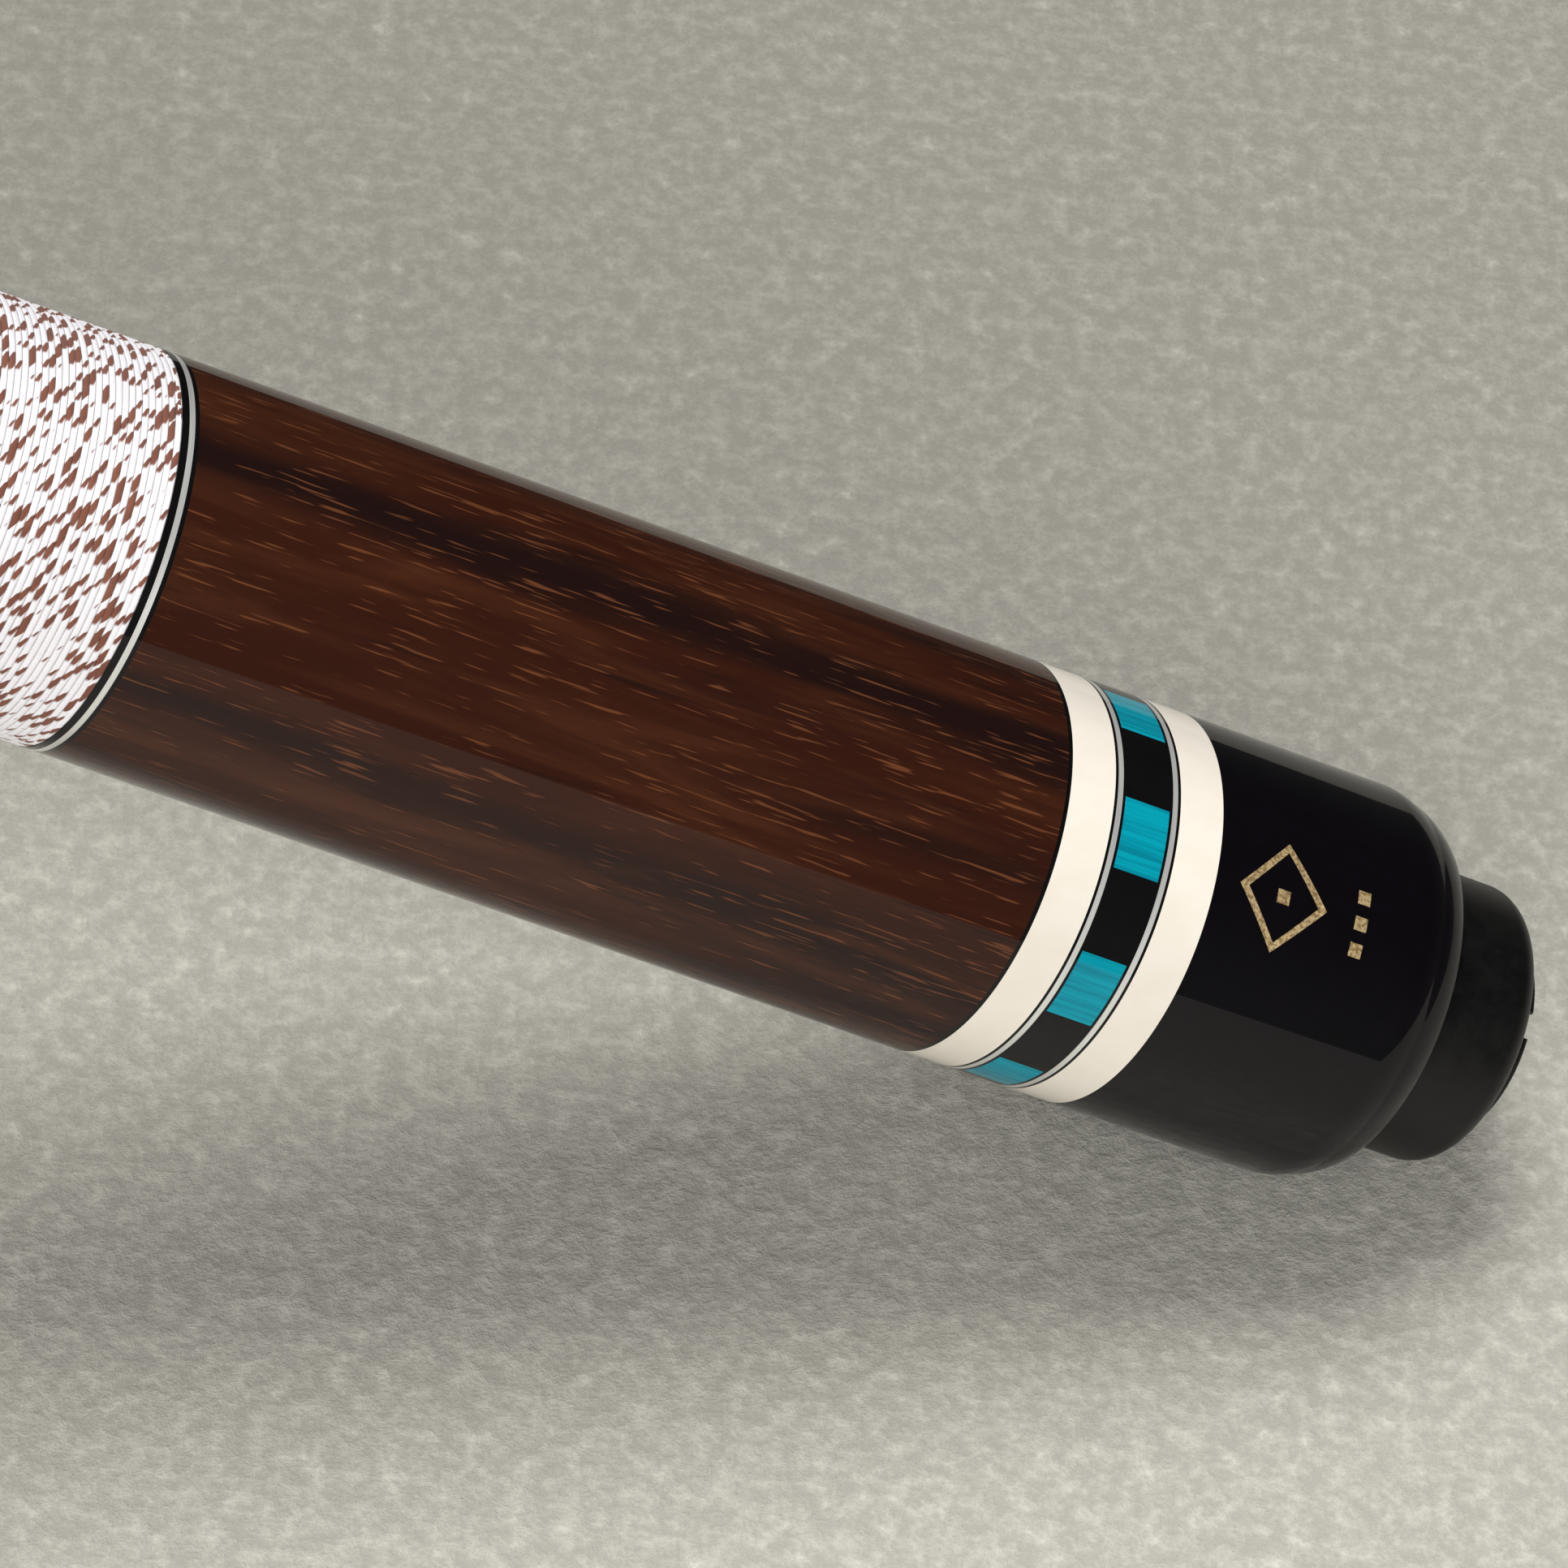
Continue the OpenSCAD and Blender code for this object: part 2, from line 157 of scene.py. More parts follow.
def steps(tree, value, low, high):
    """A soft threshold: 0 at low and beyond, 1 at high. Low may be the larger one."""
    made = node(tree, "ShaderNodeMapRange", From_Min=low, From_Max=high)
    made.interpolation_type = "SMOOTHSTEP"
    tree.links.new(value, made.inputs["Value"])
    return made.outputs["Result"]


def calc(tree, operation, first, second):
    made = tree.nodes.new("ShaderNodeMath")
    made.operation = operation
    for socket, value in zip(made.inputs, (first, second)):
        if isinstance(value, (int, float)):
            socket.default_value = value
        else:
            tree.links.new(value, socket)
    return made.outputs["Value"]


def mixed(tree, share, first, second):
    """Two colours, or a colour output and a colour, mixed by a share."""
    made = tree.nodes.new("ShaderNodeMix")
    made.data_type = "RGBA"
    tree.links.new(share, made.inputs["Factor"])
    for socket, value in ((made.inputs[6], first), (made.inputs[7], second)):
        if isinstance(value, tuple):
            socket.default_value = (*value, 1)
        else:
            tree.links.new(value, socket)
    return made.outputs[2]


def bumped(tree, shader, height, distance, strength=1.0):
    made = node(tree, "ShaderNodeBump", Strength=strength, Distance=distance)
    tree.links.new(height, made.inputs["Height"])
    tree.links.new(made.outputs["Normal"], shader.inputs["Normal"])


gloss_coat = {"Coat_Roughness": 0.03, "Coat_IOR": 1.32}


def lacquered(name, roughness=0.5, specular=0.05):
    """A base under the clear gloss coat that covers the whole butt."""
    return new_material(name, Roughness=roughness, Specular_IOR_Level=specular,
                        Coat_Weight=0.8, **gloss_coat)


print("material helpers ready")


# %% [markdown]
# ## Rosewood
# Rosewood is close to black-brown, with darker growth streaks some millimetres wide and
# open pores that show as short orange lines. Both run with the grain, so both are noise
# stretched along X: a coarse one picks the streaks, a fine one is cut off high to leave
# only short lines. A broad black layer, some millimetres thick, crosses the piece through
# its axis at a set angle, and wanders a little. It shows on two opposite sides. A slight
# lean lets the pores run out of the surface, as real ones do.

# %% Rosewood
black_brown, streak_brown = (0.0130, 0.0050, 0.0040), (0.0330, 0.0082, 0.0036)
warm_brown, line_brown = (0.058, 0.0170, 0.0066), (0.0110, 0.0044, 0.0036)
layer_black, pore_orange = (0.0085, 0.0036, 0.0034), (0.150, 0.050, 0.019)
layer_edge, layer_core, layer_wander = 3.4, 0.6, 7.0    # millimetres from its middle


def black_layer(tree, shift, layer_at):
    """How far a point is inside the black layer: 0 outside, 1 in its core."""
    across = node(tree, "ShaderNodeSeparateXYZ")
    tree.links.new(stretched(tree, 1 / mm, 1 / mm), across.inputs[0])
    aside = calc(tree, "SUBTRACT",
                 calc(tree, "MULTIPLY", across.outputs["Z"], math.cos(layer_at)),
                 calc(tree, "MULTIPLY", across.outputs["Y"], math.sin(layer_at)))
    wander = noise(tree, stretched(tree, 22, 150, shift), 3, 0.6)
    aside = calc(tree, "ADD", aside, calc(tree, "MULTIPLY", wander, layer_wander))
    aside = calc(tree, "SUBTRACT", aside, layer_wander / 2)
    return steps(tree, calc(tree, "ABSOLUTE", aside, 0.0), layer_edge, layer_core)


def rosewood(name, shift, layer_at):
    material, tree, shader = lacquered(name)
    streaks = noise(tree, stretched(tree, 7, 105, shift, 0.03), 2, 0.5, 0.3)
    colour = mixed(tree, steps(tree, streaks, 0.30, 0.46), black_brown, streak_brown)
    warm = noise(tree, stretched(tree, 34, 300, shift + 3, 0.05), 4, 0.6, 0.6)
    colour = mixed(tree, steps(tree, warm, 0.42, 0.76), colour, warm_brown)
    dark = noise(tree, stretched(tree, 60, 1100, shift + 7, 0.06), 2, 0.5)
    share = calc(tree, "MULTIPLY", steps(tree, dark, 0.60, 0.78), 0.7)
    colour = mixed(tree, share, colour, line_brown)
    share = calc(tree, "MULTIPLY", black_layer(tree, shift + 17, layer_at), 0.86)
    colour = mixed(tree, share, colour, layer_black)
    crowd = steps(tree, noise(tree, stretched(tree, 45, 200, shift + 11)), 0.35, 0.70)
    pores = noise(tree, stretched(tree, 230, 4300, shift + 5, 0.07), 1, 0.4)
    level = calc(tree, "ADD", pores, calc(tree, "MULTIPLY", crowd, 0.08))
    lines = calc(tree, "MULTIPLY", steps(tree, level, 0.665, 0.765), 0.75)
    colour = mixed(tree, lines, colour, pore_orange)
    tree.links.new(colour, shader.inputs["Base Color"])
    return material


sleeve_wood = rosewood("rosewood_sleeve", 0.0, math.radians(97))
forearm_wood = rosewood("rosewood_forearm", 21.0, math.radians(70))
print("rosewood: streaks, warm bands, a black layer and open pores")


# %% [markdown]
# ## Maple
# The handle core and the shaft are straight-grained hard maple: pale, with faint growth
# lines and fine brown flecks. The shaft is only sealed and burnished so that it slides
# through the hand, so it gets a satin surface and no coat.

# %% Maple
def maple(name, shift):
    material, tree, shader = new_material(name, Roughness=0.38, Specular_IOR_Level=0.4)
    rings = noise(tree, stretched(tree, 2.5, 260, shift, 0.01), 3, 0.5, 0.3)
    colour = mixed(tree, steps(tree, rings, 0.35, 0.70),
                   (0.62, 0.42, 0.235), (0.72, 0.53, 0.33))
    flecks = noise(tree, stretched(tree, 260, 4200, shift + 2), 1, 0.4)
    share = calc(tree, "MULTIPLY", steps(tree, flecks, 0.64, 0.76), 0.5)
    colour = mixed(tree, share, colour, (0.40, 0.235, 0.115))
    tree.links.new(colour, shader.inputs["Base Color"])
    bumped(tree, shader, flecks, 0.02 * mm, 0.3)
    return material


shaft_maple = maple("maple_shaft", 1.0)
core_maple = maple("maple_core", 9.0)
print("maple: growth lines and flecks")


# %% [markdown]
# ## Resin, dyed wood and phenolic
# The ivory-coloured rings are cast resin with the faintest grain. The turquoise blocks
# are dyed veneer, whose fine darker lines run along the cue. The cap, collars, black
# blocks and lines are black phenolic, which shows a trace of violet under its lacquer.

# %% Ring materials
def ivory_resin():
    material, tree, shader = lacquered("ivory_resin", 0.4, 0.3)
    cloud = noise(tree, stretched(tree, 260, 420), 4, 0.6)
    colour = mixed(tree, steps(tree, cloud, 0.3, 0.7),
                   (0.825, 0.755, 0.650), (0.850, 0.785, 0.685))
    tree.links.new(colour, shader.inputs["Base Color"])
    return material


def turquoise_veneer():
    material, tree, shader = lacquered("turquoise_veneer")
    grain = noise(tree, stretched(tree, 70, 3400, 2, 0.02), 3, 0.6)
    patch = noise(tree, stretched(tree, 60, 260, 6), 2, 0.5)
    both = calc(tree, "ADD", calc(tree, "MULTIPLY", grain, 0.7),
                calc(tree, "MULTIPLY", patch, 0.3))
    colour = mixed(tree, steps(tree, both, 0.36, 0.60),
                   (0.0005, 0.190, 0.260), (0.0005, 0.300, 0.385))
    tree.links.new(colour, shader.inputs["Base Color"])
    return material


def black_phenolic(name, tint):
    material, tree, shader = lacquered(name, 0.5, 0.1)
    cloud = noise(tree, stretched(tree, 500, 500, 3), 3, 0.6)
    colour = mixed(tree, steps(tree, cloud, 0.3, 0.7),
                   tuple(c * 0.7 for c in tint), tint)
    tree.links.new(colour, shader.inputs["Base Color"])
    return material


ivory = ivory_resin()
turquoise = turquoise_veneer()
cap_black = black_phenolic("black_phenolic_cap", (0.0020, 0.0013, 0.0027))
line_black = black_phenolic("black_phenolic_lines", (0.0034, 0.0030, 0.0034))
print("resin, veneer and phenolic ready")


# %% [markdown]
# ## Metals
# A turned ring keeps fine circular tool marks, so its highlight is dragged along the
# cue. Noise squeezed along X gives those marks. The thin silver rings lie under the
# lacquer, which takes some of their mirror away; screws and washers are bare. Gold leaf
# is uneven, so a fine noise varies its colour.

# %% Metals
def turned_metal(name, colour, roughness, coated):
    coat, metal = (0.6, 0.72) if coated else (0.0, 1.0)
    material, tree, shader = new_material(name, Metallic=metal, Coat_Weight=coat,
                                          **gloss_coat)
    marks = noise(tree, stretched(tree, 26000, 160), 2, 0.6)
    dull = mixed(tree, steps(tree, marks, 0.2, 0.8),
                 tuple(c * 0.78 for c in colour), colour)
    tree.links.new(dull, shader.inputs["Base Color"])
    spread = node(tree, "ShaderNodeMapRange", To_Min=roughness - 0.06,
                  To_Max=roughness + 0.08)
    tree.links.new(marks, spread.inputs["Value"])
    tree.links.new(spread.outputs["Result"], shader.inputs["Roughness"])
    bumped(tree, shader, marks, 0.004 * mm, 0.4)
    return material


nickel_silver = turned_metal("nickel_silver", (0.95, 0.94, 0.90), 0.46, True)
steel = turned_metal("turned_steel", (0.56, 0.57, 0.59), 0.28, False)
brass = turned_metal("turned_brass", (0.72, 0.50, 0.20), 0.30, False)
gold_leaf, tree, shader = new_material("gold_leaf", Metallic=0.7, Roughness=0.45)
flakes = noise(tree, stretched(tree, 3600, 3600), 2, 0.7)
tree.links.new(mixed(tree, steps(tree, flakes, 0.36, 0.62), (0.42, 0.27, 0.11),
                     (0.98, 0.73, 0.38)), shader.inputs["Base Color"])
bumped(tree, shader, flakes, 0.01 * mm, 0.5)
print("nickel silver, steel, brass and gold leaf ready")


# %% [markdown]
# ## Rubber, leather and the other small parts
# The bumper is moulded rubber: nearly black, satin, with a fine moulded pebble. The tip
# is pressed leather dulled with blue chalk near its crown. The ferrule, the fibre pad,
# the nylon ring and the phenolic insert each get their own faint texture.

# %% Rubber, leather and small parts
def moulded(name, dark, light, roughness, grain, depth):
    material, tree, shader = new_material(name, Specular_IOR_Level=0.30)
    coarse = noise(tree, stretched(tree, grain / 8, grain / 8, 2), 3, 0.6)
    fine = noise(tree, stretched(tree, grain, grain), 3, 0.6)
    colour = mixed(tree, steps(tree, coarse, 0.3, 0.7), dark, light)
    tree.links.new(colour, shader.inputs["Base Color"])
    spread = node(tree, "ShaderNodeMapRange", To_Min=roughness - 0.08,
                  To_Max=roughness + 0.08)
    tree.links.new(coarse, spread.inputs["Value"])
    tree.links.new(spread.outputs["Result"], shader.inputs["Roughness"])
    bumped(tree, shader, fine, depth, 0.5)
    return material


def tip_leather():
    material, tree, shader = new_material("tip_leather", Roughness=0.85,
                                          Specular_IOR_Level=0.2)
    layers = noise(tree, stretched(tree, 2600, 160), 3, 0.6)
    nap = noise(tree, stretched(tree, 5200, 5200), 3, 0.7)
    colour = mixed(tree, steps(tree, layers, 0.35, 0.65),
                   (0.10, 0.060, 0.035), (0.20, 0.125, 0.075))
    split = node(tree, "ShaderNodeSeparateXYZ")
    tree.links.new(stretched(tree, 1, 1), split.inputs["Vector"])
    crown_top, chalk_l = stations("leather_tip")[1], 4 * mm
    crown = steps(tree, calc(tree, "MULTIPLY", split.outputs["X"], -1.0),
                  crown_top - chalk_l, crown_top)
    chalk = calc(tree, "MULTIPLY", crown, steps(tree, nap, 0.30, 0.62))
    colour = mixed(tree, chalk, colour, (0.075, 0.175, 0.30))
    tree.links.new(colour, shader.inputs["Base Color"])
    bumped(tree, shader, nap, 0.08 * mm, 0.8)
    return material


rubber = moulded("moulded_rubber", (0.0026, 0.0024, 0.0025), (0.0046, 0.0044, 0.0042),
                 0.42, 5200, 0.02 * mm)
ferrule_resin = moulded("ferrule_resin", (0.74, 0.73, 0.69), (0.80, 0.79, 0.75),
                        0.28, 3000, 0.004 * mm)
fibre = moulded("fibre_pad", (0.020, 0.020, 0.020), (0.045, 0.043, 0.040),
                0.70, 6000, 0.03 * mm)
nylon = moulded("nylon", (0.70, 0.69, 0.64), (0.78, 0.77, 0.72), 0.45, 2500, 0.01 * mm)
insert_phenolic = moulded("insert_phenolic", (0.030, 0.017, 0.010),
                          (0.055, 0.032, 0.018), 0.45, 4000, 0.01 * mm)
leather = tip_leather()
print("rubber, leather and small parts ready")


# %% [markdown]
# ## Turning on a lathe
# A turned part is its outline swept round the axis. `turned` takes the outline as
# (station, radius) points going once round the section, so bores and end faces are
# there too. Points on the axis become one pole. Edges sharper than 30 degrees stay
# crisp, and the rest is shaded smooth.

# %% Lathe
SEGMENTS = 192
WELD, SLIVER = 1e-7, 1e-8    # metres
SHARP = math.radians(30)


def finish_mesh(name, work, material):
    bmesh.ops.remove_doubles(work, verts=work.verts, dist=WELD)
    bmesh.ops.dissolve_degenerate(work, dist=SLIVER, edges=work.edges)
    bmesh.ops.recalc_face_normals(work, faces=work.faces)
    mesh = bpy.data.meshes.new(name)
    work.to_mesh(mesh)
    work.free()
    mesh.shade_smooth()
    mesh.set_sharp_from_angle(angle=SHARP)
    mesh.materials.append(material)
    piece = bpy.data.objects.new(name, mesh)
    bpy.context.scene.collection.objects.link(piece)
    return piece


def on_cue(station, radius, angle):
    return Vector((-station, radius * math.cos(angle), radius * math.sin(angle)))


def sweep(work, outline, start=0.0, stop=math.tau, segments=SEGMENTS):
    """Adds one closed turned solid, or a sector of it, to a mesh being built."""
    whole = stop - start >= math.tau - 1e-6
    count = segments if whole else segments + 1
    rows = [[work.verts.new(on_cue(s, r, start + (stop - start) * i / segments))
             for i in range(count)] for s, r in outline]
    for j, row in enumerate(rows):
        after = rows[(j + 1) % len(rows)]
        if outline[j][1] == 0 and outline[(j + 1) % len(rows)][1] == 0:
            continue    # both ends of this stretch lie on the axis
        for i in range(segments):
            k = (i + 1) % count
            work.faces.new((row[i], row[k], after[k], after[i]))
    if not whole:
        work.faces.new([row[0] for row in rows])
        work.faces.new([row[-1] for row in rows])


def turned(name, outline, material):
    work = bmesh.new()
    sweep(work, outline)
    return finish_mesh(name, work, material)


def arc(centre_s, centre_r, radius, first, last, count=12):
    """An arc from straight outward toward the bumper, angles in degrees."""
    turns = [math.radians(first + (last - first) * i / count) for i in range(count + 1)]
    return [(centre_s - radius * math.sin(a), centre_r + radius * math.cos(a))
            for a in turns]


def place(piece, body, *nodes):
    """Rides a finished piece on its body and stands it for its CAD nodes."""
    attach(piece, body)
    if nodes:
        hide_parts(*nodes)
    return piece


print("lathe ready,", SEGMENTS, "segments round")

# %% [markdown]
# ## The ring stack, sleeve and forearm
# Rings, sleeve and forearm are turned together on the real cue, after they are glued
# on the handle, so all of them share one straight taper with no step between. Each
# piece here is its own ring on that same taper.

# %% Rings, sleeve, forearm and collars
ring_finishes = {
    "ivory_ring_rear": ivory, "ivory_ring_front": ivory,
    "silver_ring_rear": nickel_silver, "silver_ring_front": nickel_silver,
    "silver_ring_wrap": nickel_silver, "silver_ring_top": nickel_silver,
    "joint_ring": nickel_silver, "shaft_ring": nickel_silver,
    "black_line_1": line_black, "black_line_2": line_black, "black_line_3": line_black,
    "black_line_4": line_black, "black_line_5": line_black, "black_line_6": line_black,
    "black_ring_wrap": line_black, "black_ring_top": line_black,
    "joint_collar": cap_black, "shaft_collar": cap_black, "butt_sleeve": sleeve_wood,
}
body_of_node = {n: b for b, members in frame["record"]["behaviour"]["bodies"].items()
                for n in members}


def tapered_ring(node_name):
    rear, front = stations(node_name)
    bore = radii(node_name)[0]
    return [(rear, bore), (rear, butt_r(rear)), (front, butt_r(front)), (front, bore)]


for node_name, finish in ring_finishes.items():
    ring = turned(node_name + "_turned", tapered_ring(node_name), finish)
    place(ring, body_of_node[node_name], node_name)

forearm_rear, forearm_end = stations("forearm")
collar_rear = stations("joint_ring")[0]
tenon_r = radii("joint_collar")[0]
forearm_bore = radii("black_ring_top")[0]
forearm_tenon_end = stations("handle_core")[1]
forearm = turned("forearm_turned", [
    (forearm_rear, forearm_bore), (forearm_rear, butt_r(forearm_rear)),
    (collar_rear, butt_r(collar_rear)), (collar_rear, tenon_r), (forearm_end, tenon_r),
    (forearm_end, 0), (forearm_tenon_end, 0), (forearm_tenon_end, forearm_bore),
], forearm_wood)
place(forearm, "butt", "forearm")
print("turned", len(ring_finishes) + 1, "pieces on one taper")

# %% [markdown]
# ## The ring of blocks
# Eight turquoise blocks alternate with eight black ones. They are sectors of one ring,
# so a short loop sweeps each sector on its own. The middle of the first block and a
# block's width come from the frame's turquoise solids.

# %% Turquoise and black blocks
block_count = 8
pitch_angle = math.tau / block_count
block_angles = [math.atan2(v.co.z, v.co.y) % pitch_angle
                for v in frame["nodes"]["turquoise_blocks"].data.vertices]
block_low, block_high = min(block_angles), max(block_angles)


def block_ring(name, first, last, material):
    work = bmesh.new()
    for i in range(block_count):
        start = first + i * pitch_angle
        sweep(work, tapered_ring("turquoise_blocks"), start, start + last - first, 24)
    return finish_mesh(name, work, material)


place(block_ring("turquoise_blocks_turned", block_low, block_high, turquoise),
      "butt", "turquoise_blocks")
place(block_ring("black_blocks_turned", block_high, block_low + pitch_angle, line_black),
      "butt", "black_blocks")
print(f"blocks {math.degrees(block_high - block_low):.1f} degrees wide")

# %% [markdown]
# ## Butt cap
# The cap is one turned piece: a straight taper, a rounded shoulder, a crease, and a
# narrower rounded lip that stops just short of the bumper. Its outline is two arcs.

# %% Butt cap
cap_rear, cap_front = stations("butt_cap")
shoulder_r, shoulder_l, lip_l = 6 * mm, 2.25 * mm, 2.35 * mm
lip_from, lip_to = 12, 38    # degrees
recess_l, recess_gap = 2.5 * mm, 0.3 * mm
recess_floor = cap_rear + recess_l
recess_r = radii("bumper_rubber")[1] + recess_gap
cap_tenon = stations("handle_core")[0]
stud_hole_r = radii("butt_cap")[0]
shoulder_s = cap_rear + lip_l + shoulder_l
shoulder_angle = math.degrees(math.asin(shoulder_l / shoulder_r))
crease_r = butt_r(shoulder_s) - shoulder_r * (1 - math.cos(math.radians(shoulder_angle)))
lip_r = lip_l / (math.sin(math.radians(lip_to)) - math.sin(math.radians(lip_from)))
lip_centre_s = cap_rear + lip_l + lip_r * math.sin(math.radians(lip_from))
lip_centre_r = crease_r - lip_r * math.cos(math.radians(lip_from))
cap_bore = radii("ivory_ring_rear")[0]
cap = turned("butt_cap_turned", [
    (cap_front, cap_bore), (cap_front, butt_r(cap_front)),
    *arc(shoulder_s, butt_r(shoulder_s) - shoulder_r, shoulder_r, 0, shoulder_angle),
    *arc(lip_centre_s, lip_centre_r, lip_r, lip_from, lip_to)[1:],
    (cap_rear, recess_r), (recess_floor, recess_r), (recess_floor, stud_hole_r),
    (cap_tenon, stud_hole_r), (cap_tenon, cap_bore),
], cap_black)
place(cap, "butt", "butt_cap")
print(f"cap: crease radius {crease_r / mm:.2f} mm")

# %% [markdown]
# ## Rubber bumper
# A moulded plug with a rounded rim. Its end face carries three raised ribs in a broken
# circle, which take the wear when the cue stands on the floor. The steel stud's head is
# moulded inside, so the outline has a cavity for it.

# %% Rubber bumper
bumper_inner = stations("bumper_rubber")[1]
bumper_r = radii("bumper_rubber")[1]
rim_r = 2 * mm
rib_h, rib_w, rib_outer = 1.4 * mm, 1.2 * mm, 8.4 * mm
rib_round, rib_gap = 0.3 * mm, 2 * mm
head_rear = stations("bumper_stud")[0]
head_r = radii("bumper_stud")[1]
head_l = 2.5 * mm
head_front = head_rear + head_l
thread_r = radii("weight_bolt")[1]
rib_count = 3

work = bmesh.new()
sweep(work, [
    (0, 0), (head_rear, 0), (head_rear, head_r), (head_front, head_r),
    (head_front, thread_r), (bumper_inner, thread_r), (bumper_inner, bumper_r),
    *arc(rim_r, bumper_r - rim_r, rim_r, 0, 90),
])
rib_mid = rib_outer - rib_w / 2
half_gap = rib_gap / 2 / rib_mid
crown = [(-rib_h + rib_round - rib_round * math.sin(a),
          rib_mid + side * (rib_w / 2 - rib_round + rib_round * math.cos(a)))
         for side, a in [(1, math.radians(d)) for d in (0, 30, 60, 90)]
         + [(-1, math.radians(d)) for d in (90, 60, 30, 0)]]
sunk = 0.2 * mm
rib_outline = [(sunk, rib_mid + rib_w / 2), *crown, (sunk, rib_mid - rib_w / 2)]
for i in range(rib_count):
    start = i * math.tau / rib_count + half_gap
    sweep(work, rib_outline, start, start + math.tau / rib_count - 2 * half_gap, 48)
bumper = finish_mesh("bumper_rubber_moulded", work, rubber)
place(bumper, "bumper", "bumper_rubber")
print(f"bumper: {bumper_r / mm:.1f} mm radius, {rib_count} ribs {rib_h / mm:.1f} mm high")

# %% [markdown]
# ## Screw threads
# A thread is a helix, and the trick that keeps its crest crisp is to let the mesh rows
# climb with it: row k at angle a lies at (k / steps + a / full turn) pitches, so each
# row follows the crest and joins the row one pitch further on after a turn. Rows are
# held at the thread's ends, where the radius falls to the root, and the plain ends are
# swept on with the lathe.

# %% Threaded bars
THREAD_SEGMENTS = 48
THREAD_STEPS = 8


def thread_r_at(step, crest, root, flat=0.2):
    """The radius over one pitch: a flat crest and root with straight flanks between."""
    slope = abs((step / THREAD_STEPS) * 2 - 1)
    return root + (crest - root) * min(max((slope - flat) / (1 - 2 * flat), 0), 1)


def threaded_bar(name, rear, front, crest, root, pitch, rear_end, front_end, material):
    """Threads run from rear to front; each end is a list of (station, radius)."""
    work = bmesh.new()
    climb = range(-THREAD_STEPS, math.ceil((front - rear) / pitch * THREAD_STEPS) + 1)
    grid = {}
    for k in climb:
        for i in range(THREAD_SEGMENTS):
            station = rear + (k / THREAD_STEPS + i / THREAD_SEGMENTS) * pitch
            held = min(max(station, rear), front)
            radius = thread_r_at(k % THREAD_STEPS, crest, root) if held == station else root
            grid[k, i] = work.verts.new(
                on_cue(held, radius, -math.tau * i / THREAD_SEGMENTS))
    for k in climb[:-1]:
        for i in range(THREAD_SEGMENTS):
            j, lift = (i + 1) % THREAD_SEGMENTS, THREAD_STEPS * ((i + 1) // THREAD_SEGMENTS)
            corners = [(k, i), (k + 1, i), (k + 1 + lift, j), (k + lift, j)]
            if all(c in grid for c in corners):
                work.faces.new([grid[c] for c in corners])
    bmesh.ops.remove_doubles(work, verts=work.verts, dist=WELD)
    for outline in (rear_end, front_end):
        rows = [[work.verts.new(on_cue(s, r, -math.tau * i / THREAD_SEGMENTS))
                 for i in range(THREAD_SEGMENTS)] for s, r in outline]
        for row, after in zip(rows, rows[1:]):
            for i in range(THREAD_SEGMENTS):
                k = (i + 1) % THREAD_SEGMENTS
                work.faces.new((row[i], row[k], after[k], after[i]))
    return finish_mesh(name, work, material)


thread_depth = 0.6      # of the pitch
pin_rear, pin_front = stations("joint_pin")
pin_r = radii("joint_pin")[1]
pin_pitch = named("shaft_travel")["range_m"][1] / named("shaft_turn")["range_deg"][1] * 360
pin_root = pin_r - pin_pitch * thread_depth
nose_l, pin_chamfer = 3 * mm, 0.5 * mm
pin = threaded_bar(
    "joint_pin_threaded", pin_rear, pin_front - nose_l, pin_r, pin_root, pin_pitch,
    [(pin_rear, 0), (pin_rear, pin_root)],
    [(pin_front - nose_l, pin_root), (pin_front - pin_chamfer, pin_root),
     (pin_front, pin_root - pin_chamfer), (pin_front, 0)], steel)
place(pin, "butt", "joint_pin")

bolt_pitch = (named("bumper_travel")["range_m"][1]
              / named("bumper_turn")["range_deg"][1] * 360)
bolt_root = thread_r - bolt_pitch * thread_depth
stud_front, stud_chamfer = stations("bumper_stud")[1], 1 * mm
stud = threaded_bar(
    "bumper_stud_threaded", head_front, stud_front - stud_chamfer, thread_r, bolt_root,
    bolt_pitch, [(head_rear, 0), (head_rear, head_r), (head_front, head_r),
                 (head_front, bolt_root)],
    [(stud_front - stud_chamfer, bolt_root), (stud_front, bolt_root - stud_chamfer),
     (stud_front, 0)], steel)
place(stud, "bumper", "bumper_stud")

screw_rear, screw_front = stations("a_joint_screw")
screw = threaded_bar(
    "a_joint_screw_threaded", screw_rear, screw_front, pin_r, pin_root, pin_pitch,
    [(screw_rear, 0), (screw_rear, pin_root)],
    [(screw_front, pin_root), (screw_front, 0)], steel)
place(screw, "butt", "a_joint_screw")

weight_rear, weight_front = stations("weight_bolt")
ring_rear, ring_front = stations("weight_lock_ring")
groove_r = radii("weight_lock_ring")[0] - 0.05 * mm    # clear of its ring
socket_r, socket_l = 4.6 * mm, 8 * mm
weight = threaded_bar(
    "weight_bolt_threaded", weight_rear, ring_rear, thread_r, bolt_root, bolt_pitch,
    [(weight_rear + socket_l, 0), (weight_rear + socket_l, socket_r),
     (weight_rear, socket_r), (weight_rear, bolt_root)],
    [(ring_rear, bolt_root), (ring_rear, groove_r),
     (ring_front, groove_r), (ring_front, thread_r), (weight_front, thread_r),
     (weight_front, 0)], steel)
place(weight, "weight", "weight_bolt")
print(f"threads: {pin_pitch / mm:.2f} mm and {bolt_pitch / mm:.3f} mm pitch")

# %% [markdown]
# ## Plain turned bushes
# The washer, the brass insert in the butt end, the nylon locking ring and the phenolic
# insert in the shaft are plain bushes. Each takes its bore and its outside from its
# own node.

